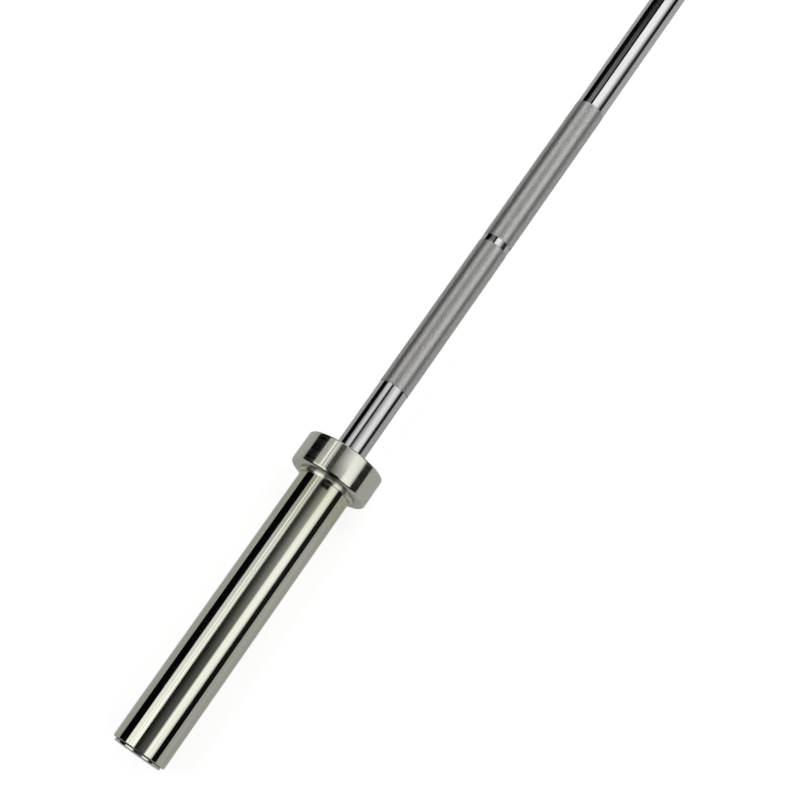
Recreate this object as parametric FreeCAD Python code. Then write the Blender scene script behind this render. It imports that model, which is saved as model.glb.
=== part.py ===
import FreeCAD, Part
import os

# A short olympic barbell. One steel shaft carries a sleeve at each end, and each sleeve spins
# freely on a bronze bush at its root and a caged needle bearing at its outer end.
# The bar lies along X, with the origin on its axis at the middle of the shaft.
# All sizes are in millimetres.

# Shaft
GRIP_LENGTH = 1220.0
GRIP_DIAMETER = 28.0
COLLAR_TO_KNURL = 74.0
KNURL_LENGTH = 162.5
MARK_WIDTH = 7.0
KNURL_RISE = 0.3
SHOULDER_HEIGHT = 1.5
SHOULDER_GAP = 1.0
SHAFT_END_CHAMFER = 1.0

# Sleeve tube
SLEEVE_DIAMETER = 50.0
LOADING_LENGTH = 272.5
SLEEVE_END_CHAMFER = 0.8
CHAMBER_STEP = 2.5

# Collar, pressed over a raised seat at the tube's root and fillet-welded on the loading side
COLLAR_STEP = 12.5
COLLAR_WIDTH = 30.0
COLLAR_CHAMFER = 1.2
SEAT_RISE = 0.3
WELD_WIDTH = 4.0
WELD_HEIGHT = 2.5

# Bronze bush
BUSH_LENGTH = 20.0
BUSH_WALL = 2.5

# Needle bearing
CUP_WIDTH = 20.0
CUP_WALL = 1.0
CUP_LIP_HEIGHT = 1.7
NEEDLE_COUNT = 12
CAGE_WALL = 1.3
CAGE_RIM = 1.8

# Thrust washers and snap ring
WASHER_THICKNESS = 2.0
RING_THICKNESS = 1.2
RING_WIDTH = 2.2
RING_GAP = 3.0
RING_EAR_WIDTH = 4.0
RING_EAR_REACH = 4.2
PLIER_HOLE = 2.0
GROOVE_DEPTH = 0.55
RING_TO_SHAFT_END = 3.0

# End cap, a turned plug pressed into the tube
CAP_SEAT = 3.25
CAP_LIP = 2.5
CAP_CHAMFER = 0.6
CAP_PLUG_LENGTH = 6.0
CAP_TO_SHAFT_END = 2.0

# Clearances
RUNNING_CLEARANCE = 0.03
ROLLING_CLEARANCE = 0.02
POCKET_CLEARANCE = 0.1
GROOVE_PLAY = 0.1
CAGE_END_CLEARANCE = 0.3
WASHER_CLEARANCE = 0.1
WASHER_RIM_CLEARANCE = 0.3
JOURNAL_CLEARANCE = 1.0
END_FLOAT = 0.2

# Radii, from the shaft's journal out to the sleeve
GRIP_R = GRIP_DIAMETER / 2
JOURNAL_R = GRIP_R - SHOULDER_HEIGHT
GROOVE_R = JOURNAL_R - GROOVE_DEPTH
MIDDLE_BORE_R = JOURNAL_R + JOURNAL_CLEARANCE
BEARING_R = GRIP_R + BUSH_WALL
RACE_R = BEARING_R - CUP_WALL
PITCH_R = (JOURNAL_R + RACE_R) / 2
NEEDLE_R = (RACE_R - JOURNAL_R) / 2 - ROLLING_CLEARANCE
CHAMBER_R = BEARING_R + CHAMBER_STEP
CAP_R = CHAMBER_R + CAP_SEAT
SLEEVE_R = SLEEVE_DIAMETER / 2
SEAT_R = SLEEVE_R + SEAT_RISE
WELD_R = SEAT_R + WELD_HEIGHT
COLLAR_R = SLEEVE_R + COLLAR_STEP

# Stations along +X, from the collar's root out to the end of the sleeve
GRIP_END = GRIP_LENGTH / 2
BUSH_END = GRIP_END + BUSH_LENGTH
SHOULDER = BUSH_END + SHOULDER_GAP
THRUST_FACE = SHOULDER + WASHER_THICKNESS + END_FLOAT
COLLAR_FACE = GRIP_END + COLLAR_WIDTH
WELD_END = COLLAR_FACE + WELD_WIDTH
TUBE_END = COLLAR_FACE + LOADING_LENGTH
CAP_FACE = TUBE_END + CAP_LIP
CAP_PLUG_END = TUBE_END - CAP_PLUG_LENGTH
SHAFT_END = CAP_PLUG_END - CAP_TO_SHAFT_END
RING_OUTER = SHAFT_END - RING_TO_SHAFT_END
RING_INNER = RING_OUTER - RING_THICKNESS
OUTER_WASHER = RING_INNER - WASHER_THICKNESS
CHAMBER_FLOOR = OUTER_WASHER - END_FLOAT
CUP_START = CHAMBER_FLOOR - CUP_WIDTH
CUP_MIDDLE = CHAMBER_FLOOR - CUP_WIDTH / 2

ORIGIN = FreeCAD.Vector(0, 0, 0)
BAR_AXIS = FreeCAD.Vector(1, 0, 0)
UPRIGHT = FreeCAD.Vector(0, 0, 1)
FULL_TURN = 360.0
HALF_TURN = 180.0


def turned(corners):
    """A solid of revolution about the bar's axis, from the (station, radius) corners of its half section."""
    points = [FreeCAD.Vector(station, 0, radius) for station, radius in corners]
    outline = Part.makePolygon(points + points[:1])
    return Part.Face(outline).revolve(ORIGIN, BAR_AXIS, FULL_TURN)


def plain_ring(start, width, inner_r, outer_r):
    """A ring of rectangular section about the bar's axis."""
    end = start + width
    return turned([(start, inner_r), (start, outer_r), (end, outer_r), (end, inner_r)])


def around_axis(shape, count):
    """Copies of a shape, spread evenly round the bar's axis."""
    step = FULL_TURN / count
    return Part.makeCompound([shape.rotated(ORIGIN, BAR_AXIS, step * turn) for turn in range(count)])


def make_shaft():
    """Grip with two knurled bands for each hand, and at each end a journal with a snap-ring groove."""
    knurl_r = GRIP_R + KNURL_RISE
    band_outer = GRIP_END - COLLAR_TO_KNURL
    mark_outer = band_outer - KNURL_LENGTH
    mark_inner = mark_outer - MARK_WIDTH
    band_inner = mark_inner - KNURL_LENGTH
    half = []
    for start, end in ((band_inner, mark_inner), (mark_outer, band_outer)):
        half += [(start, GRIP_R), (start + KNURL_RISE, knurl_r)]
        half += [(end - KNURL_RISE, knurl_r), (end, GRIP_R)]
    groove_inner = RING_INNER - GROOVE_PLAY
    half += [(SHOULDER, GRIP_R), (SHOULDER, JOURNAL_R)]
    half += [(groove_inner, JOURNAL_R), (groove_inner, GROOVE_R)]
    half += [(RING_OUTER, GROOVE_R), (RING_OUTER, JOURNAL_R)]
    half += [(SHAFT_END - SHAFT_END_CHAMFER, JOURNAL_R)]
    half += [(SHAFT_END, JOURNAL_R - SHAFT_END_CHAMFER), (SHAFT_END, 0)]
    other_half = [(-station, radius) for station, radius in reversed(half)]
    return turned(other_half + half)


def make_sleeve_tube():
    """Thick tube that takes the plates, bored from both ends, with the collar's seat at its root."""
    return turned(
        [
            (GRIP_END, BEARING_R),
            (GRIP_END, SEAT_R),
            (WELD_END, SEAT_R),
            (WELD_END, SLEEVE_R),
            (TUBE_END - SLEEVE_END_CHAMFER, SLEEVE_R),
            (TUBE_END, SLEEVE_R - SLEEVE_END_CHAMFER),
            (TUBE_END, CHAMBER_R),
            (CHAMBER_FLOOR, CHAMBER_R),
            (CHAMBER_FLOOR, BEARING_R),
            (CUP_START, BEARING_R),
            (CUP_START, MIDDLE_BORE_R),
            (THRUST_FACE, MIDDLE_BORE_R),
            (THRUST_FACE, BEARING_R),
        ]
    )


def make_collar():
    """Heavy ring that stops the plates, with both outer edges broken and its weld to the tube."""
    chamfer_r = COLLAR_R - COLLAR_CHAMFER
    return turned(
        [
            (GRIP_END, SEAT_R),
            (GRIP_END, chamfer_r),
            (GRIP_END + COLLAR_CHAMFER, COLLAR_R),
            (COLLAR_FACE - COLLAR_CHAMFER, COLLAR_R),
            (COLLAR_FACE, chamfer_r),
            (COLLAR_FACE, WELD_R),
            (WELD_END, SEAT_R),
        ]
    )


def make_bush():
    """Bronze bush at the sleeve's root, running on the end of the grip."""
    return plain_ring(GRIP_END, BUSH_LENGTH, GRIP_R + RUNNING_CLEARANCE, BEARING_R)


def make_inner_thrust_washer():
    """Washer between the shaft's shoulder and the step in the tube, which stops the sleeve sliding in."""
    rim_r = BEARING_R - WASHER_RIM_CLEARANCE
    return plain_ring(SHOULDER, WASHER_THICKNESS, JOURNAL_R + WASHER_CLEARANCE, rim_r)


def make_outer_thrust_washer():
    """Washer between the needle cup and the snap ring, which stops the sleeve sliding off."""
    rim_r = CHAMBER_R - WASHER_RIM_CLEARANCE
    return plain_ring(OUTER_WASHER, WASHER_THICKNESS, JOURNAL_R + WASHER_CLEARANCE, rim_r)


def make_needle_cup():
    """Drawn cup of the needle bearing: the outer race, with a lip at each end that keeps the cage in."""
    lip_r = RACE_R - CUP_LIP_HEIGHT
    race_start = CUP_START + CUP_WALL
    race_end = CHAMBER_FLOOR - CUP_WALL
    return turned(
        [
            (CUP_START, lip_r),
            (CUP_START, BEARING_R),
            (CHAMBER_FLOOR, BEARING_R),
            (CHAMBER_FLOOR, lip_r),
            (race_end, lip_r),
            (race_end, RACE_R),
            (race_start, RACE_R),
            (race_start, lip_r),
        ]
    )


def cage_width():
    """The cage fills the cup between its lips, less a little end clearance."""
    return CUP_WIDTH - 2 * (CUP_WALL + CAGE_END_CLEARANCE)


def needle_length():
    """A needle spans the cage between its two rims, with clearance in the pocket."""
    return cage_width() - 2 * (CAGE_RIM + POCKET_CLEARANCE)


def make_needle_cage():
    """Ring with one pocket for each needle, midway between the journal and the race."""
    start = CUP_MIDDLE - cage_width() / 2
    body = plain_ring(start, cage_width(), PITCH_R - CAGE_WALL / 2, PITCH_R + CAGE_WALL / 2)
    pocket_length = needle_length() + 2 * POCKET_CLEARANCE
    pocket_width = 2 * (NEEDLE_R + POCKET_CLEARANCE)
    corner = FreeCAD.Vector(CUP_MIDDLE - pocket_length / 2, -pocket_width / 2, 0)
    pocket = Part.makeBox(pocket_length, pocket_width, BEARING_R, corner)
    return body.cut(around_axis(pocket, NEEDLE_COUNT))


def make_needles():
    """The bearing's needles, one in each pocket of the cage."""
    base = FreeCAD.Vector(CUP_MIDDLE - needle_length() / 2, 0, PITCH_R)
    needle = Part.makeCylinder(NEEDLE_R, needle_length(), base, BAR_AXIS)
    return around_axis(needle, NEEDLE_COUNT)


def make_snap_ring():
    """Open spring ring in the shaft's groove, with an eared end for the pliers on each side of its gap."""
    ring = plain_ring(RING_INNER, RING_THICKNESS, GROOVE_R, GROOVE_R + RING_WIDTH)
    ear_top = GROOVE_R + RING_EAR_REACH
    ears_width = RING_GAP + 2 * RING_EAR_WIDTH
    ears = Part.makeBox(RING_THICKNESS, ears_width, ear_top, FreeCAD.Vector(RING_INNER, -ears_width / 2, 0))
    seat = Part.makeCylinder(GROOVE_R, RING_THICKNESS, FreeCAD.Vector(RING_INNER, 0, 0), BAR_AXIS)
    gap = Part.makeBox(RING_THICKNESS, RING_GAP, ear_top, FreeCAD.Vector(RING_INNER, -RING_GAP / 2, 0))
    cutters = [seat, gap]
    for side in (-1, 1):
        hole_y = side * (RING_GAP + RING_EAR_WIDTH) / 2
        centre = FreeCAD.Vector(RING_INNER, hole_y, ear_top - RING_EAR_WIDTH / 2)
        cutters.append(Part.makeCylinder(PLIER_HOLE / 2, RING_THICKNESS, centre, BAR_AXIS))
    return ring.fuse(ears).cut(cutters).removeSplitter()


def make_end_cap():
    """Turned plug that closes the tube, with a lip that seats on the tube's end."""
    return turned(
        [
            (CAP_PLUG_END, 0),
            (CAP_PLUG_END, CHAMBER_R),
            (TUBE_END, CHAMBER_R),
            (TUBE_END, CAP_R),
            (CAP_FACE - CAP_CHAMFER, CAP_R),
            (CAP_FACE, CAP_R - CAP_CHAMFER),
            (CAP_FACE, 0),
        ]
    )


def sleeve_end():
    """Every piece at the bar's +X end, by name."""
    return {
        "sleeve_tube": make_sleeve_tube(),
        "collar": make_collar(),
        "bush": make_bush(),
        "inner_thrust_washer": make_inner_thrust_washer(),
        "needle_cup": make_needle_cup(),
        "needle_cage": make_needle_cage(),
        "needles": make_needles(),
        "outer_thrust_washer": make_outer_thrust_washer(),
        "snap_ring": make_snap_ring(),
        "end_cap": make_end_cap(),
    }


os.makedirs("parts", exist_ok=True)
make_shaft().exportStep("parts/shaft.step")
for piece, shape in sleeve_end().items():
    shape.exportStep(f"parts/right_{piece}.step")
    shape.rotated(ORIGIN, UPRIGHT, HALF_TURN).exportStep(f"parts/left_{piece}.step")
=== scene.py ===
import math

import bmesh
import bpy
from mathutils import Matrix


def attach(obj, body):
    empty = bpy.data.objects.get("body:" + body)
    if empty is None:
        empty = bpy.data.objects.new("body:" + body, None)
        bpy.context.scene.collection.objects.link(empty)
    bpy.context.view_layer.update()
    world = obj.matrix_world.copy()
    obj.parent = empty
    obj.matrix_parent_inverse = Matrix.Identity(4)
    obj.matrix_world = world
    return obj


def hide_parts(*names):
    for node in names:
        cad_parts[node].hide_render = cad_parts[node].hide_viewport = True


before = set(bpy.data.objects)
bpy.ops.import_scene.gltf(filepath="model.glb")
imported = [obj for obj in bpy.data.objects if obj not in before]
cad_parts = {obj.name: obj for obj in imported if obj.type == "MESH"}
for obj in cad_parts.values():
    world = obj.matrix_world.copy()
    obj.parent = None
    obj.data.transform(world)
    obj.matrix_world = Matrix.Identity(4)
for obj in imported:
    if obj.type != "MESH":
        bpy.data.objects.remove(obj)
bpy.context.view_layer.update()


# Shaft
# One bar of spring steel, turned down at each end to a journal with a groove for its snap ring,
# then polished and chrome plated. Under each knurled band it is sunk by the depth of the knurl.
MM = 0.001
FULL_TURN = 2 * math.pi
ROUND_STEPS = 5
SHARP_ANGLE = math.radians(35)
SAME_POINT = 1e-7
BUMP_DEPTH = 0.0001

SHAFT_STEPS = 160
GRIP_R = 14.0
BAND_SEAT_R = 13.6
JOURNAL_R = 12.5
GROOVE_R = 11.95
KNURL_BANDS = ((204.0, 366.5), (373.5, 536.0))
SHOULDER = 631.0
GROOVE = (900.2, 901.5)
SHAFT_END = 904.5
BAND_EDGE = 0.15
SHOULDER_EDGE = 0.4
SHAFT_END_EDGE = 1.0
SHAFT_CLEAN = (0.62, 0.615, 0.615)
SHAFT_SMEARED = (0.57, 0.565, 0.57)
SHAFT_ROUGHNESS = (0.075, 0.13)


def turned(outline, steps):
    """Spins (station, radius, edge round) corners, in millimetres, about the bar's axis.
    An outline that starts on the axis makes a solid bar, and any other one a ring."""
    shape = bmesh.new()
    corners = []
    for station, radius, edge_round in outline:
        corners.append(shape.verts.new((station * MM, 0, radius * MM)))
    for here, there in zip(corners, corners[1:]):
        shape.edges.new((here, there))
    if outline[0][1] > 0:
        shape.edges.new((corners[-1], corners[0]))
    for corner, (station, radius, edge_round) in zip(corners, outline):
        if edge_round:
            bmesh.ops.bevel(
                shape, geom=[corner], offset=edge_round * MM, offset_type="OFFSET",
                affect="VERTICES", segments=ROUND_STEPS, profile=0.5, material=-1,
            )
    bmesh.ops.spin(
        shape, geom=shape.verts[:] + shape.edges[:], cent=(0, 0, 0), axis=(1, 0, 0),
        angle=FULL_TURN, steps=steps, use_merge=True,
    )
    bmesh.ops.remove_doubles(shape, verts=shape.verts, dist=SAME_POINT)
    bmesh.ops.recalc_face_normals(shape, faces=shape.faces)
    return shape


def made_piece(name, shape, material, smooth=True):
    """Turns a finished shape into an object, with rounds shaded smooth and hard edges kept."""
    mesh = bpy.data.meshes.new(name)
    shape.to_mesh(mesh)
    shape.free()
    mesh.materials.append(material)
    piece = bpy.data.objects.new(name, mesh)
    bpy.context.scene.collection.objects.link(piece)
    if smooth:
        mesh.shade_smooth()
        mesh.set_sharp_from_angle(angle=SHARP_ANGLE)
        normals = piece.modifiers.new("even_gloss", "WEIGHTED_NORMAL")
        normals.keep_sharp = True
    return piece


def fill(tree, socket, value):
    """Gives a socket a value, or links another node's output to it."""
    if isinstance(value, bpy.types.NodeSocket):
        tree.links.new(value, socket)
    else:
        socket.default_value = value


def add_node(tree, kind, settings=None, **sockets):
    """Adds a node with its settings, and fills the sockets that are named."""
    made = tree.nodes.new(kind)
    for name, value in (settings or {}).items():
        setattr(made, name, value)
    for name, value in sockets.items():
        fill(tree, made.inputs[name.replace("_", " ")], value)
    return made


def arithmetic(tree, operation, first, second):
    """A Math node with two inputs, each a number or another node's output."""
    made = add_node(tree, "ShaderNodeMath", {"operation": operation})
    for socket, value in zip(made.inputs, (first, second)):
        fill(tree, socket, value)
    return made.outputs[0]


def stretched(tree, position, factors):
    """A position with each of its coordinates multiplied by a factor."""
    made = add_node(tree, "ShaderNodeVectorMath", {"operation": "MULTIPLY"})
    for socket, value in zip(made.inputs, (position, factors)):
        fill(tree, socket, value)
    return made.outputs[0]


def axis_distance(tree, position):
    """How far a position is from the bar's axis."""
    across = stretched(tree, position, (0, 1, 1))
    length = add_node(tree, "ShaderNodeVectorMath", {"operation": "LENGTH"}, Vector=across)
    return length.outputs["Value"]


def station_along(tree, position):
    """How far along the bar a position is."""
    return add_node(tree, "ShaderNodeSeparateXYZ", Vector=position).outputs["X"]


def effect_group(name, inputs, output):
    """Starts a shader group that reads a surface position and other inputs, and puts out one value."""
    tree = bpy.data.node_groups.new(name, "ShaderNodeTree")
    tree.interface.new_socket("Position", in_out="INPUT", socket_type="NodeSocketVector")
    for socket_name, value in inputs.items():
        socket = tree.interface.new_socket(socket_name, in_out="INPUT", socket_type="NodeSocketFloat")
        socket.default_value = value
    tree.interface.new_socket(output, in_out="OUTPUT", socket_type="NodeSocketFloat")
    given = tree.nodes.new("NodeGroupInput").outputs
    result = tree.nodes.new("NodeGroupOutput").inputs[output]
    return tree, given, result


def lathe_lines():
    """Fine rings left by turning and polishing, round the bar and across its flat faces."""
    tree, given, lines = effect_group("Lathe lines", {"Rings per metre": 2500.0}, "Lines")
    station = station_along(tree, given["Position"])
    path = arithmetic(tree, "ADD", station, axis_distance(tree, given["Position"]))
    turns = arithmetic(tree, "MULTIPLY", path, given["Rings per metre"])
    rings = add_node(
        tree, "ShaderNodeTexNoise", {"noise_dimensions": "1D"}, W=turns, Scale=1.0, Detail=2.0,
    )
    tree.links.new(rings.outputs[0], lines)
    return tree


def handling_marks():
    """Soft smears from hands and cloths, as a mask from 0, clean, to 1, smeared."""
    tree, given, mask = effect_group("Handling marks", {"Marks per metre": 14.0}, "Mask")
    smears = add_node(
        tree, "ShaderNodeTexNoise", Vector=given["Position"], Scale=given["Marks per metre"],
        Detail=5.0, Roughness=0.62, Distortion=0.6,
    )
    spread = add_node(
        tree, "ShaderNodeMapRange", {"interpolation_type": "SMOOTHSTEP"}, Value=smears.outputs[0],
        From_Min=0.42, From_Max=0.68,
    )
    tree.links.new(spread.outputs[0], mask)
    return tree


LATHE_LINES = lathe_lines()
HANDLING_MARKS = handling_marks()


def placed_group(tree, group, position, **values):
    """Places one of the shared effects in a material, with its own values."""
    made = add_node(tree, "ShaderNodeGroup", {"node_tree": group}, Position=position, **values)
    return made.outputs[0]


def metal(name):
    """Starts a metal. Returns the material, its tree, its shader and the surface position."""
    material = bpy.data.materials.new(name)
    material.use_nodes = True
    tree = material.node_tree
    shader = tree.nodes["Principled BSDF"]
    shader.inputs["Metallic"].default_value = 1.0
    position = tree.nodes.new("ShaderNodeTexCoord").outputs["Object"]
    return material, tree, shader, position


def two_tones(tree, mask, first, second):
    """Goes from one colour to another with a mask."""
    ramp = tree.nodes.new("ShaderNodeValToRGB")
    ramp.color_ramp.elements[0].color = (*first, 1)
    ramp.color_ramp.elements[1].color = (*second, 1)
    tree.links.new(mask, ramp.inputs["Fac"])
    return ramp.outputs["Color"]


def between(tree, mask, low, high, start=0.0, end=1.0):
    """Goes from one value to another while a mask goes from its start to its end."""
    ramp = add_node(
        tree, "ShaderNodeMapRange", Value=mask, From_Min=start, From_Max=end, To_Min=low, To_Max=high,
    )
    return ramp.outputs[0]


def raised(tree, height, strength):
    """A surface normal from a small height."""
    bump = add_node(tree, "ShaderNodeBump", Height=height, Strength=strength, Distance=BUMP_DEPTH)
    return bump.outputs[0]


def shaft_plate():
    material, tree, shader, position = metal("shaft_chrome_plate")
    marks = placed_group(tree, HANDLING_MARKS, position, Marks_per_metre=16.0)
    lines = placed_group(tree, LATHE_LINES, position, Rings_per_metre=1800.0)
    tree.links.new(two_tones(tree, marks, SHAFT_CLEAN, SHAFT_SMEARED), shader.inputs["Base Color"])
    tree.links.new(between(tree, marks, *SHAFT_ROUGHNESS), shader.inputs["Roughness"])
    tree.links.new(raised(tree, lines, strength=0.05), shader.inputs["Normal"])
    return material


half_shaft = []
for band_start, band_end in KNURL_BANDS:
    half_shaft += [(band_start, GRIP_R, BAND_EDGE), (band_start, BAND_SEAT_R, 0)]
    half_shaft += [(band_end, BAND_SEAT_R, 0), (band_end, GRIP_R, BAND_EDGE)]
half_shaft += [(SHOULDER, GRIP_R, SHOULDER_EDGE), (SHOULDER, JOURNAL_R, 0)]
half_shaft += [(GROOVE[0], JOURNAL_R, 0), (GROOVE[0], GROOVE_R, 0)]
half_shaft += [(GROOVE[1], GROOVE_R, 0), (GROOVE[1], JOURNAL_R, 0)]
half_shaft += [(SHAFT_END, JOURNAL_R, SHAFT_END_EDGE), (SHAFT_END, 0, 0)]
other_half = [(-station, radius, edge_round) for station, radius, edge_round in reversed(half_shaft)]
shaft = made_piece("shaft_bar", turned(other_half + half_shaft, SHAFT_STEPS), shaft_plate())
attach(shaft, "shaft")
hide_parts("shaft")


# Knurled bands
# A diamond pattern rolled into the steel, two bands for each hand with a plain mark ring between.
# Each band is a skin of small flat-topped diamonds, plated with the shaft and satin to the eye.
# Its colour darkens into the roots, partly dirt held in the grooves and partly painted shade.
KNURL_CREST_R = 14.3
KNURL_ROOT_R = 13.92
KNURL_END_R = 14.1
KNURL_FLAT = 0.86
KNURLS_AROUND = 92
KNURL_ROWS = 162
ROW_MARGIN = 0.1
# Colour of the roots: partly dirt in the grooves, partly painted shade.
KNURL_ROOT_DIRT_AND_SHADE = (0.4, 0.396, 0.378)
KNURL_BRIGHT = (0.88, 0.87, 0.84)
KNURL_GRAIN = (0.1, 1.5)
KNURL_ROUGHNESS = (0.45, 0.31)


def is_crest(point):
    return math.hypot(point.co.y, point.co.z) > 0.5 * (KNURL_END_R + KNURL_CREST_R) * MM


def knurled_skin(start, end):
    """A grid wrapped round the shaft, whose points are peaks and roots by turns like a chessboard.
    The peaks are cut off, and the diamonds that this leaves fall towards both of their ends."""
    peak_r = (KNURL_CREST_R - KNURL_FLAT * KNURL_ROOT_R) / (1 - KNURL_FLAT)
    skin = bmesh.new()
    bmesh.ops.create_grid(skin, x_segments=KNURL_ROWS, y_segments=KNURLS_AROUND, size=0.5)
    for point in skin.verts:
        row = round((point.co.x + 0.5) * KNURL_ROWS)
        column = round((point.co.y + 0.5) * KNURLS_AROUND)
        angle = FULL_TURN * column / KNURLS_AROUND
        radius = peak_r if (row + column) % 2 else KNURL_ROOT_R
        if row in (0, KNURL_ROWS):
            radius = GRIP_R
        station = start + (end - start) * row / KNURL_ROWS
        point.co = (station * MM, radius * math.sin(angle) * MM, radius * math.cos(angle) * MM)
    bmesh.ops.remove_doubles(skin, verts=skin.verts, dist=SAME_POINT)
    bmesh.ops.triangulate(skin, faces=skin.faces, quad_method="SHORT_EDGE")
    peaks = [point for point in skin.verts if is_crest(point)]
    bmesh.ops.bevel(
        skin, geom=peaks, offset=100 * KNURL_FLAT, offset_type="PERCENT",
        affect="VERTICES", segments=1, profile=0.5, material=-1,
    )
    tops = [
        face for face in skin.faces
        if len(face.verts) == 4 and all(is_crest(point) for point in face.verts)
    ]
    bmesh.ops.triangulate(skin, faces=tops, quad_method="SHORT_EDGE")
    for point in skin.verts:
        row = KNURL_ROWS * (point.co.x / MM - start) / (end - start)
        if is_crest(point) and abs(row - round(row)) > ROW_MARGIN:
            point.co.yz = point.co.yz * KNURL_END_R / KNURL_CREST_R
    rims = [edge for edge in skin.edges if edge.is_boundary]
    walls = bmesh.ops.extrude_edge_only(skin, edges=rims)["geom"]
    inner = [item for item in walls if isinstance(item, bmesh.types.BMVert)]
    inward = BAND_SEAT_R / GRIP_R
    bmesh.ops.scale(skin, vec=(1, inward, inward), verts=inner)
    seams = [item for item in walls if isinstance(item, bmesh.types.BMEdge) and item.is_boundary]
    bmesh.ops.bridge_loops(skin, edges=seams)
    bmesh.ops.recalc_face_normals(skin, faces=skin.faces)
    return skin


def knurl_plate():
    material, tree, shader, position = metal("knurl_chrome_plate")
    radius = axis_distance(tree, position)
    # The base colour darkens from crest to root: partly dirt, partly painted shade in the grooves.
    height = between(tree, radius, 0.0, 1.0, start=KNURL_ROOT_R * MM, end=KNURL_CREST_R * MM)
    grain = add_node(tree, "ShaderNodeTexNoise", Vector=position, Scale=900.0, Detail=1.0)
    root_dirt_and_shade = arithmetic(tree, "MULTIPLY", height, between(tree, grain.outputs[0], *KNURL_GRAIN))
    tree.links.new(two_tones(tree, root_dirt_and_shade, KNURL_ROOT_DIRT_AND_SHADE, KNURL_BRIGHT), shader.inputs["Base Color"])
    tree.links.new(between(tree, height, *KNURL_ROUGHNESS), shader.inputs["Roughness"])
    return material


KNURL_PLATE = knurl_plate()
ENDS = {"left": -1, "right": 1}
for hand, side in ENDS.items():
    for place, (band_start, band_end) in zip(("inner", "outer"), KNURL_BANDS):
        skin = knurled_skin(*sorted((side * band_start, side * band_end)))
        band = made_piece(f"{hand}_{place}_knurl", skin, KNURL_PLATE, smooth=False)
        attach(band, "shaft")


# Inner thrust washers
# Hardened rings that slide over the journal up to the shaft's shoulder. They stop the sleeve
# sliding in along the shaft, and their faces are ground flat.
GROUND_BRIGHT = (0.58, 0.58, 0.59)
GROUND_OILY = (0.5, 0.49, 0.47)
GROUND_ROUGHNESS = (0.2, 0.36)


def ground_steel():
    """Bright bearing steel with fine grinding rings and a thin film of oil."""
    material, tree, shader, position = metal("ground_bearing_steel")
    oil = placed_group(tree, HANDLING_MARKS, position, Marks_per_metre=60.0)
    lines = placed_group(tree, LATHE_LINES, position, Rings_per_metre=3000.0)
    tree.links.new(two_tones(tree, oil, GROUND_BRIGHT, GROUND_OILY), shader.inputs["Base Color"])
    tree.links.new(between(tree, lines, *GROUND_ROUGHNESS), shader.inputs["Roughness"])
    tree.links.new(raised(tree, lines, strength=0.15), shader.inputs["Normal"])
    return material


BEARING_STEEL = ground_steel()
for end in ENDS:
    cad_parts[f"{end}_inner_thrust_washer"].data.materials[0] = BEARING_STEEL


# Sleeve tubes
# Thick steel tube that takes the plates, bored for its bearings, polished lengthwise on a belt and
# nickel plated. Its colour is darker over the last few centimetres beside the collar, as painted shade.
SLEEVE_STEPS = 256
COLLAR_INNER = 610.0
COLLAR_OUTER = 640.0
SEAT_END = 643.0
TUBE_END = 912.5
SLEEVE_R = 25.0
COLLAR_SEAT_R = 25.3
BEARING_R = 16.5
MIDDLE_BORE_R = 13.5
CHAMBER_R = 19.0
THRUST_FACE = 633.2
CUP_START = 878.1
CHAMBER_FLOOR = 898.1
ROOT_BORE_EDGE = 0.4
TUBE_EDGE = 0.8
CHAMBER_EDGE = 0.3
SCRATCH_STRETCH = (0.004, 1, 1)
SLEEVE_DARK = (0.48, 0.476, 0.418)
SLEEVE_BRIGHT = (0.79, 0.785, 0.687)
SLEEVE_ROUGHNESS = (0.06, 0.1)
# Stations in millimetres, and the tint, of the painted shade beside the collar.
PAINTED_ROOT_SHADE_SPAN = (720.0, 643.0)
PAINTED_ROOT_SHADE_TINT = (0.86, 0.86, 0.79)


def at_end(shape, end):
    """A shape made for the right end, turned half round to stand at the left one if need be."""
    if end == "left":
        half_turn = Matrix.Rotation(math.pi, 3, "Z")
        bmesh.ops.rotate(shape, cent=(0, 0, 0), matrix=half_turn, verts=shape.verts)
    return shape


def polishing_lines():
    """Faint scratches along the bar from polishing belts."""
    tree, given, lines = effect_group("Polishing lines", {"Lines per metre": 900.0}, "Lines")
    along = stretched(tree, given["Position"], SCRATCH_STRETCH)
    scratches = add_node(
        tree, "ShaderNodeTexNoise", Vector=along, Scale=given["Lines per metre"], Detail=2.0,
    )
    tree.links.new(scratches.outputs[0], lines)
    return tree


POLISHING_LINES = polishing_lines()


def sleeve_plate():
    material, tree, shader, position = metal("sleeve_nickel_plate")
    lines = placed_group(tree, POLISHING_LINES, position, Lines_per_metre=500.0)
    marks = placed_group(tree, HANDLING_MARKS, position, Marks_per_metre=12.0)
    # Painted shade: the base colour is multiplied down over the stretch of tube beside the collar.
    distance = arithmetic(tree, "ABSOLUTE", station_along(tree, position), 0.0)
    root_shade_mask = add_node(
        tree, "ShaderNodeMapRange", {"interpolation_type": "SMOOTHSTEP"}, Value=distance,
        From_Min=PAINTED_ROOT_SHADE_SPAN[0] * MM, From_Max=PAINTED_ROOT_SHADE_SPAN[1] * MM,
    )
    shaded = add_node(
        tree, "ShaderNodeMixRGB", {"blend_type": "MULTIPLY"}, Fac=root_shade_mask.outputs[0],
        Color1=two_tones(tree, lines, SLEEVE_DARK, SLEEVE_BRIGHT), Color2=(*PAINTED_ROOT_SHADE_TINT, 1),
    )
    tree.links.new(shaded.outputs[0], shader.inputs["Base Color"])
    tree.links.new(between(tree, marks, *SLEEVE_ROUGHNESS), shader.inputs["Roughness"])
    tree.links.new(raised(tree, lines, strength=0.04), shader.inputs["Normal"])
    return material


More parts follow.
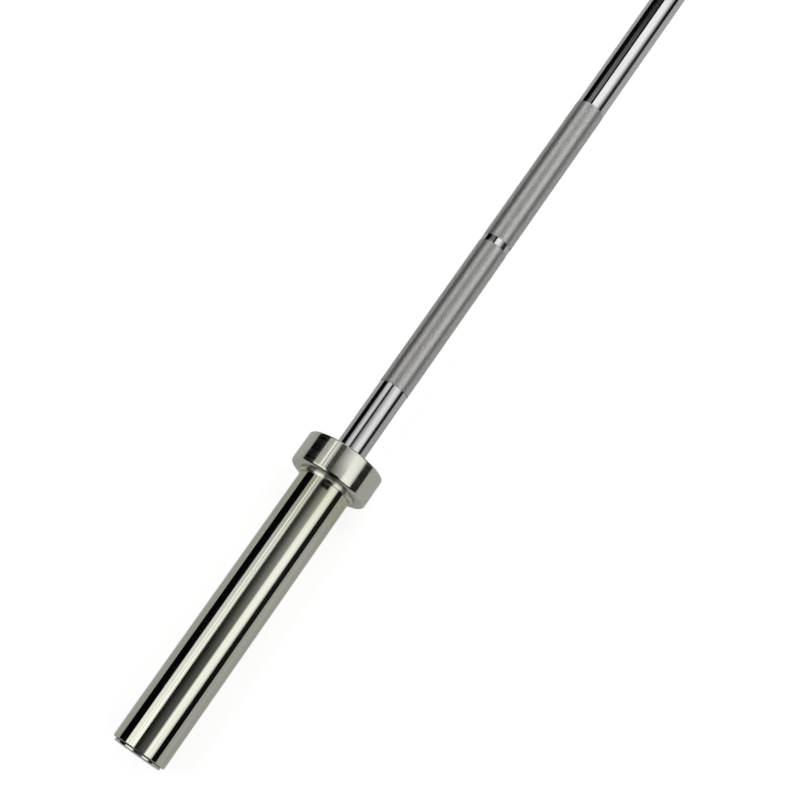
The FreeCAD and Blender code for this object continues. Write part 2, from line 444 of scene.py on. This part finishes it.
SLEEVE_PLATE = sleeve_plate()
tube_outline = [
    (COLLAR_INNER, BEARING_R, ROOT_BORE_EDGE),
    (COLLAR_INNER, COLLAR_SEAT_R, 0),
    (SEAT_END, COLLAR_SEAT_R, 0),
    (SEAT_END, SLEEVE_R, 0),
    (TUBE_END, SLEEVE_R, TUBE_EDGE),
    (TUBE_END, CHAMBER_R, CHAMBER_EDGE),
    (CHAMBER_FLOOR, CHAMBER_R, 0),
    (CHAMBER_FLOOR, BEARING_R, 0),
    (CUP_START, BEARING_R, 0),
    (CUP_START, MIDDLE_BORE_R, 0),
    (THRUST_FACE, MIDDLE_BORE_R, 0),
    (THRUST_FACE, BEARING_R, 0),
]
for end in ENDS:
    tube = made_piece(f"{end}_sleeve", at_end(turned(tube_outline, SLEEVE_STEPS), end), SLEEVE_PLATE)
    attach(tube, f"{end}_sleeve")
    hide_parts(f"{end}_sleeve_tube")


# Bushes
# Plain bearings of sintered bronze, full of oil, pressed into the root of each tube and reamed.
# The end of the grip turns in them, and their ends show as a thin ring inside the collar.
BUSH_BORE_R = 14.03
BUSH_END = 630.0
BUSH_MOUTH_EDGE = 0.5
BUSH_EDGE = 0.3
PORE_BROWN = (0.3, 0.17, 0.07)
BRONZE = (0.62, 0.4, 0.19)
BRONZE_ROUGHNESS = (0.46, 0.26)


def oiled_bronze():
    material, tree, shader, position = metal("oiled_sintered_bronze")
    grains = add_node(tree, "ShaderNodeTexVoronoi", Vector=position, Scale=2600.0)
    pores = between(tree, grains.outputs["Distance"], 0.0, 1.0, start=0.1, end=0.6)
    oil = placed_group(tree, HANDLING_MARKS, position, Marks_per_metre=70.0)
    tree.links.new(two_tones(tree, pores, PORE_BROWN, BRONZE), shader.inputs["Base Color"])
    tree.links.new(between(tree, oil, *BRONZE_ROUGHNESS), shader.inputs["Roughness"])
    tree.links.new(raised(tree, pores, strength=0.25), shader.inputs["Normal"])
    return material


OILED_BRONZE = oiled_bronze()
bush_outline = [
    (COLLAR_INNER, BUSH_BORE_R, BUSH_MOUTH_EDGE),
    (COLLAR_INNER, BEARING_R, BUSH_EDGE),
    (BUSH_END, BEARING_R, BUSH_EDGE),
    (BUSH_END, BUSH_BORE_R, BUSH_EDGE),
]
for end in ENDS:
    bush = made_piece(f"{end}_bush_ring", at_end(turned(bush_outline, SHAFT_STEPS), end), OILED_BRONZE)
    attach(bush, f"{end}_sleeve")
    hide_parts(f"{end}_bush")


# Collars
# Heavy turned ring that stops the plates, pressed over the root of the tube and plated with it.
# Its rim and faces are buffed on the lathe, so fine rings run round it, and the deepest are dull.
COLLAR_R = 37.5
COLLAR_EDGE = 1.6
LOADING_EDGE = 3.0
COLLAR_BORE_EDGE = 0.3
COLLAR_DARK = (0.57, 0.565, 0.5)
COLLAR_BRIGHT = (0.68, 0.675, 0.6)
COLLAR_ROUGHNESS = (0.07, 0.11)
DEEP_RINGS = (0.57, 0.65)
DEEP_RING_DULLNESS = 0.2


def collar_plate():
    material, tree, shader, position = metal("collar_nickel_plate")
    lines = placed_group(tree, LATHE_LINES, position, Rings_per_metre=2200.0)
    fine_lines = placed_group(tree, LATHE_LINES, position, Rings_per_metre=9000.0)
    marks = placed_group(tree, HANDLING_MARKS, position, Marks_per_metre=22.0)
    dull_rings = between(tree, fine_lines, 0.0, DEEP_RING_DULLNESS, *DEEP_RINGS)
    roughness = arithmetic(tree, "ADD", between(tree, marks, *COLLAR_ROUGHNESS), dull_rings)
    tree.links.new(two_tones(tree, lines, COLLAR_DARK, COLLAR_BRIGHT), shader.inputs["Base Color"])
    tree.links.new(roughness, shader.inputs["Roughness"])
    tree.links.new(raised(tree, lines, strength=0.03), shader.inputs["Normal"])
    return material


COLLAR_PLATE = collar_plate()
collar_outline = [
    (COLLAR_INNER, COLLAR_SEAT_R, COLLAR_BORE_EDGE),
    (COLLAR_INNER, COLLAR_R, COLLAR_EDGE),
    (COLLAR_OUTER, COLLAR_R, LOADING_EDGE),
    (COLLAR_OUTER, COLLAR_SEAT_R, 0),
]
for end in ENDS:
    ring = at_end(turned(collar_outline, SLEEVE_STEPS), end)
    collar = made_piece(f"{end}_collar_ring", ring, COLLAR_PLATE)
    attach(collar, f"{end}_sleeve")
    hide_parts(f"{end}_collar")


# Collar welds
# A weld runs right round the root of the collar on the loading side. Its crown slopes down and
# drops to the tube, with the torch's ripples as notches in its upper edge. It is plated too.
WELD_R = 27.9
WELD_CROWN_END = 643.5
WELD_CROWN_END_R = 27.25
WELD_SINK = 0.1
WELD_GROOVE = (0.25, 0.8)
WELD_EDGE = 0.15
CROWN_END_EDGE = 0.25
WELD_RIPPLES = 94
RIPPLE_STEPS = 15
RIPPLE_DEPTH = 0.12
RIPPLE_SHARPNESS = 14
WELD_CLEAN = (0.64, 0.635, 0.56)
WELD_STAINED = (0.54, 0.535, 0.46)
WELD_ROUGHNESS = (0.075, 0.125)
weld_outline = [
    (COLLAR_OUTER, SLEEVE_R - WELD_SINK, 0),
    (COLLAR_OUTER, WELD_R - WELD_GROOVE[1], 0),
    (COLLAR_OUTER + WELD_GROOVE[0], WELD_R - WELD_GROOVE[1], 0),
    (COLLAR_OUTER + WELD_GROOVE[0], WELD_R, WELD_EDGE),
    (WELD_CROWN_END, WELD_CROWN_END_R, CROWN_END_EDGE),
    (WELD_CROWN_END, SLEEVE_R - WELD_SINK, 0),
]


def weld_bead():
    """The weld's section spun round the tube, with a notch at every ripple of its upper edge."""
    bead = turned(weld_outline, WELD_RIPPLES * RIPPLE_STEPS)
    for point in bead.verts:
        radius = math.hypot(point.co.y, point.co.z)
        if radius > (WELD_R - 0.5 * WELD_GROOVE[1]) * MM:
            wave = math.cos(WELD_RIPPLES * math.atan2(point.co.y, point.co.z))
            notch = RIPPLE_DEPTH * MM * max(wave, 0) ** RIPPLE_SHARPNESS
            point.co.yz = point.co.yz * (1 - notch / radius)
    return bead


def weld_metal():
    material, tree, shader, position = metal("plated_weld")
    marks = placed_group(tree, HANDLING_MARKS, position, Marks_per_metre=220.0)
    tree.links.new(two_tones(tree, marks, WELD_CLEAN, WELD_STAINED), shader.inputs["Base Color"])
    tree.links.new(between(tree, marks, *WELD_ROUGHNESS), shader.inputs["Roughness"])
    return material


PLATED_WELD = weld_metal()
for end in ENDS:
    weld = made_piece(f"{end}_collar_weld", at_end(weld_bead(), end), PLATED_WELD)
    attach(weld, f"{end}_sleeve")


# Needle bearings
# A drawn cup is pressed into the outer bore of each tube as the race. Inside it, a pressed cage
# carries twelve ground needles that roll on the shaft's journal.
CAGE_CLEAN = (0.46, 0.47, 0.48)
CAGE_OILY = (0.36, 0.355, 0.34)
CAGE_ROUGHNESS = (0.3, 0.44)


def pressed_sheet():
    material, tree, shader, position = metal("pressed_cage_steel")
    oil = placed_group(tree, HANDLING_MARKS, position, Marks_per_metre=120.0)
    tree.links.new(two_tones(tree, oil, CAGE_CLEAN, CAGE_OILY), shader.inputs["Base Color"])
    tree.links.new(between(tree, oil, *CAGE_ROUGHNESS), shader.inputs["Roughness"])
    tree.links.new(raised(tree, oil, strength=0.1), shader.inputs["Normal"])
    return material


CAGE_STEEL = pressed_sheet()
for end in ENDS:
    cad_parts[f"{end}_needle_cup"].data.materials[0] = BEARING_STEEL
    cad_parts[f"{end}_needle_cage"].data.materials[0] = CAGE_STEEL
    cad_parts[f"{end}_needles"].data.materials[0] = BEARING_STEEL


# Outer thrust washers and snap rings
# A washer closes the needle bearing, and an eared ring of black spring steel snaps into the
# shaft's groove behind it. Together they stop the sleeve sliding off.
PHOSPHATE_DARK = (0.05, 0.05, 0.055)
PHOSPHATE_PALE = (0.13, 0.13, 0.14)
PHOSPHATE_ROUGHNESS = (0.4, 0.6)


def black_spring():
    material, tree, shader, position = metal("phosphated_spring_steel")
    noise = add_node(tree, "ShaderNodeTexNoise", Vector=position, Scale=3000.0, Detail=3.0)
    crystals = noise.outputs[0]
    tones = two_tones(tree, crystals, PHOSPHATE_DARK, PHOSPHATE_PALE)
    tree.links.new(tones, shader.inputs["Base Color"])
    tree.links.new(between(tree, crystals, *PHOSPHATE_ROUGHNESS), shader.inputs["Roughness"])
    tree.links.new(raised(tree, crystals, strength=0.2), shader.inputs["Normal"])
    return material


BLACK_SPRING = black_spring()
for end in ENDS:
    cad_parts[f"{end}_outer_thrust_washer"].data.materials[0] = BEARING_STEEL
    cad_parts[f"{end}_snap_ring"].data.materials[0] = BLACK_SPRING


# End caps
# A turned steel plug pressed into the end of each tube, with a lip that seats on the tube.
# It is plated like the collar, with the fine rings of the lathe on its face and a rounded edge.
CAP_PLUG_END = 906.5
CAP_FACE = 915.0
CAP_R = 22.25
CAP_GROOVE = (0.6, 1.2)
PLUG_EDGE = 0.4
LIP_EDGE = 0.15
CAP_EDGE = 0.6
cap_outline = [
    (CAP_PLUG_END, 0, 0),
    (CAP_PLUG_END, CHAMBER_R, PLUG_EDGE),
    (TUBE_END, CHAMBER_R, 0),
    (TUBE_END, CAP_R - CAP_GROOVE[1], 0),
    (TUBE_END + CAP_GROOVE[0], CAP_R, LIP_EDGE),
    (CAP_FACE, CAP_R, CAP_EDGE),
    (CAP_FACE, 0, 0),
]
for end in ENDS:
    cap = made_piece(f"{end}_cap_plug", at_end(turned(cap_outline, SLEEVE_STEPS), end), COLLAR_PLATE)
    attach(cap, f"{end}_sleeve")
    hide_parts(f"{end}_end_cap")


# Floor
# A plain pale studio floor that the collars stand on. The eye sees it as white, with the bar's
# soft shadow on it, and the metal shows it as the grey of the lit floor.
FLOOR_HALF_SIZE = 40.0
FLOOR_COLOUR = (0.65, 0.65, 0.645)
FLOOR_WHITE = 0.76
FAR_FLOOR_WHITE = 1.0
FAR_FLOOR = {"X": (1.2, 2.6), "Y": (0.4, 1.7)}
FLOOR_IN_METAL = 0.18


def stage_material(name):
    """Starts a material of the stage. Returns it, its tree and the socket that its shader goes to."""
    material = bpy.data.materials.new(name)
    material.use_nodes = True
    tree = material.node_tree
    tree.nodes.remove(tree.nodes["Principled BSDF"])
    return material, tree, tree.nodes["Material Output"].inputs["Surface"]


def surface_place(tree):
    """The X, Y and Z of a position on the surface."""
    position = tree.nodes.new("ShaderNodeTexCoord").outputs["Object"]
    return add_node(tree, "ShaderNodeSeparateXYZ", Vector=position).outputs


def floor_paper():
    material, tree, surface = stage_material("studio_floor")
    place = surface_place(tree)
    seen = tree.nodes.new("ShaderNodeLightPath").outputs
    direct = arithmetic(tree, "MAXIMUM", seen["Is Camera Ray"], seen["Is Transmission Ray"])
    white = FLOOR_WHITE
    for axis, (start, end) in FAR_FLOOR.items():
        distance = arithmetic(tree, "ABSOLUTE", place[axis], 0.0)
        fade = between(tree, distance, FLOOR_WHITE, FAR_FLOOR_WHITE, start, end)
        white = arithmetic(tree, "MAXIMUM", fade, white)
    white = arithmetic(tree, "MULTIPLY", direct, white)
    in_metal = arithmetic(tree, "MULTIPLY", seen["Is Glossy Ray"], FLOOR_IN_METAL)
    paper = add_node(tree, "ShaderNodeBsdfDiffuse", Color=(*FLOOR_COLOUR, 1))
    glow = add_node(tree, "ShaderNodeEmission", Strength=arithmetic(tree, "ADD", white, in_metal))
    both = tree.nodes.new("ShaderNodeAddShader")
    tree.links.new(paper.outputs[0], both.inputs[0])
    tree.links.new(glow.outputs[0], both.inputs[1])
    tree.links.new(both.outputs[0], surface)
    return material


floor_shape = bmesh.new()
bmesh.ops.create_grid(floor_shape, x_segments=1, y_segments=1, size=FLOOR_HALF_SIZE)
bmesh.ops.translate(floor_shape, vec=(0, 0, -COLLAR_R * MM), verts=floor_shape.verts)
floor = made_piece("floor", floor_shape, floor_paper(), smooth=False)


# Studio
# The bar is lit by softboxes hung along both sides of it in a dark room, which is what bright metal
# needs for its black and white bands. Only the metal and the floor see them, never the camera.
ROOM_R = 2.2
ROOM_ENDS = {"near": -3.2, "far": 3.6}
ROOM_ANGLE = 92
ROOM_BLACK = (0.012, 0.012, 0.013)
CEILING_R = 2.1
SOFTBOX_R = 1.5
STRIP_R = 1.49
FLAG_R = 0.12
PANEL_STEPS = 24
WALL_STEPS = 48
NEAR_END_FADE = ("X", -1.55, -1.4, 0.15, 1.0)
LOW_EDGE_FADE = ("Z", 0.817, 0.598, 1.0, 0.45)
SURROUND_LIGHT = 0.7
SURROUND_SHOWN = 1.0


def unseen(name, shape, material):
    """Puts up a piece of the stage that the camera doesn't see."""
    panel = made_piece(name, shape, material, smooth=False)
    panel.visible_camera = False


def bent_panel(name, radius, ends, material):
    """A sheet bent round the bar's axis. Each end is (station in metres, first angle, last angle), with
    the angles in degrees from straight up, towards -Y."""
    sheet = bmesh.new()
    bmesh.ops.create_grid(sheet, x_segments=1, y_segments=PANEL_STEPS, size=0.5)
    for point in sheet.verts:
        station, first, last = ends[0] if point.co.x < 0 else ends[1]
        angle = math.radians(first + (last - first) * (point.co.y + 0.5))
        point.co = (station, -radius * math.sin(angle), radius * math.cos(angle))
    unseen(name, sheet, material)


def end_wall(name, station, material):
    wall = bmesh.new()
    quarter_turn = Matrix.Rotation(math.pi / 2, 3, "Y")
    bmesh.ops.create_circle(wall, cap_ends=True, segments=WALL_STEPS, radius=ROOM_R)
    bmesh.ops.rotate(wall, cent=(0, 0, 0), matrix=quarter_turn, verts=wall.verts)
    bmesh.ops.translate(wall, vec=(station, 0, 0), verts=wall.verts)
    unseen(name, wall, material)


def black_cloth():
    material, tree, surface = stage_material("dark_room_cloth")
    cloth = add_node(tree, "ShaderNodeBsdfDiffuse", Color=(*ROOM_BLACK, 1))
    tree.links.new(cloth.outputs[0], surface)
    return material


def lamp_cloth(name, fades):
    """Glowing cloth. Its glow is a product of fades, each of them
    (axis, start, end, glow at the start, glow at the end)."""
    material, tree, surface = stage_material(name)
    place = surface_place(tree)
    strength = 1.0
    for axis, start, end, first, last in fades:
        fade = between(tree, place[axis], first, last, start, end)
        strength = arithmetic(tree, "MULTIPLY", fade, strength)
    glow = add_node(tree, "ShaderNodeEmission", Strength=strength)
    tree.links.new(glow.outputs[0], surface)
    return material


def lamp_panel(name, radius, ends, *fades):
    """A bent panel of glowing cloth, with the fades of its glow."""
    bent_panel(name, radius, ends, lamp_cloth(f"{name}_cloth", fades))


ROOM_CLOTH = black_cloth()
room_ends = [(station, -ROOM_ANGLE, ROOM_ANGLE) for station in ROOM_ENDS.values()]
bent_panel("dark_room", ROOM_R, room_ends, ROOM_CLOTH)
for place, station in ROOM_ENDS.items():
    end_wall(f"dark_room_{place}_end", station, ROOM_CLOTH)
lamp_panel(
    "dim_ceiling", CEILING_R, ((-1.0, -12, 32), (-0.06, -12, 32)),
    ("X", -0.62, -0.14, 0.07, 0.3), ("Y", 0.12, -0.9, 0.25, 1.75),
)
bent_panel("small_flag", FLAG_R, ((-0.6287, -6, 25.5), (-0.623, -6, 25.5)), ROOM_CLOTH)
lamp_panel(
    "near_left_softbox", SOFTBOX_R, ((-2.9, -56, -6), (-0.09, -52.2, -15.5)),
    ("X", -0.85, -0.33, 1.27, 0.57), NEAR_END_FADE,
)
lamp_panel(
    "upper_left_strip", STRIP_R, ((-2.9, -25.2, -20.7), (-0.09, -25.2, -20.7)),
    ("X", -0.85, -0.3, 1.7, 1.15),
)
lamp_panel(
    "lower_left_strip", STRIP_R, ((-1.5, -35, -29.5), (-0.09, -35, -29.5)),
    ("X", -0.85, -0.27, 1.66, 1.4),
)
lamp_panel(
    "middle_left_softbox", SOFTBOX_R, ((-0.09, -52.2, -15.5), (0.215, -51, -15.5)),
    ("X", -0.09, 0.215, 1.0, 0.95),
)
lamp_panel(
    "far_left_softbox", SOFTBOX_R, ((0.275, -50, -15.5), (0.95, -44.5, -15.5)),
    ("X", 0.275, 0.85, 0.55, 0.03),
)
lamp_panel(
    "end_softbox", SOFTBOX_R, ((1.0, -54, -4), (3.0, -54, -4)),
    ("X", 1.0, 3.0, 1.3, 1.3),
)
lamp_panel(
    "end_front_softbox", SOFTBOX_R, ((1.0, 30, 66.5), (3.0, 30, 66.5)),
    ("X", 1.0, 1.3, 0.3, 1.2),
)
lamp_panel(
    "right_softbox", SOFTBOX_R, ((-2.9, 30, 66.5), (-0.29, 30, 66.5)),
    ("Z", 1.299, 1.2, 0.45, 1.33), LOW_EDGE_FADE, NEAR_END_FADE,
)
lamp_panel(
    "low_right_fill", CEILING_R, ((-2.9, 66.5, 89), (1.2, 66.5, 89)),
    ("X", -0.8, 1.0, 0.004, 0.04),
)
lamp_panel(
    "near_front_softbox", SOFTBOX_R, ((-0.29, -1, 66.5), (-0.08, -1, 66.5)),
    ("Y", 0.0, -0.86, 0.32, 1.28), ("Z", 1.2, 0.77, 1.0, 0.87), LOW_EDGE_FADE,
)
lamp_panel(
    "middle_front_softbox", SOFTBOX_R, ((-0.08, -1, 67), (0.58, -2, 67)),
    ("Z", 1.35, 0.75, 1.3, 0.1),
)
lamp_panel(
    "far_front_softbox", SOFTBOX_R, ((0.58, -2, 67), (0.96, -2, 67)),
    ("Z", 1.2, 0.6, 1.37, 0.13),
)

world = bpy.data.worlds.new("white_surround")
bpy.context.scene.world = world
world.use_nodes = True
air = world.node_tree
rays = air.nodes.new("ShaderNodeLightPath").outputs
shown = arithmetic(air, "MAXIMUM", rays["Is Camera Ray"], rays["Is Glossy Ray"])
shown = arithmetic(air, "MAXIMUM", shown, rays["Is Transmission Ray"])
surround = air.nodes["Background"]
surround.inputs["Color"].default_value = (1, 1, 1, 1)
air.links.new(between(air, shown, SURROUND_LIGHT, SURROUND_SHOWN), surround.inputs["Strength"])


# Camera
# It stands about 1.4 m above the end of the left sleeve and looks along the bar, so the bar runs
# from the lower left of the picture out of its top.
CAMERA_PLACE = (-0.94712, -0.28896, 1.36426)
CAMERA_ANGLES = (19.8581, 0.383, -56.603)
CAMERA_LENS = 74.49
CAMERA_SENSOR = 36.0
camera = bpy.data.objects.new("camera", bpy.data.cameras.new("camera"))
camera.data.sensor_width = CAMERA_SENSOR
camera.data.lens = CAMERA_LENS
camera.location = CAMERA_PLACE
camera.rotation_euler = [math.radians(angle) for angle in CAMERA_ANGLES]
bpy.context.scene.collection.objects.link(camera)
bpy.context.scene.camera = camera
bpy.context.scene.view_settings.view_transform = "Standard"
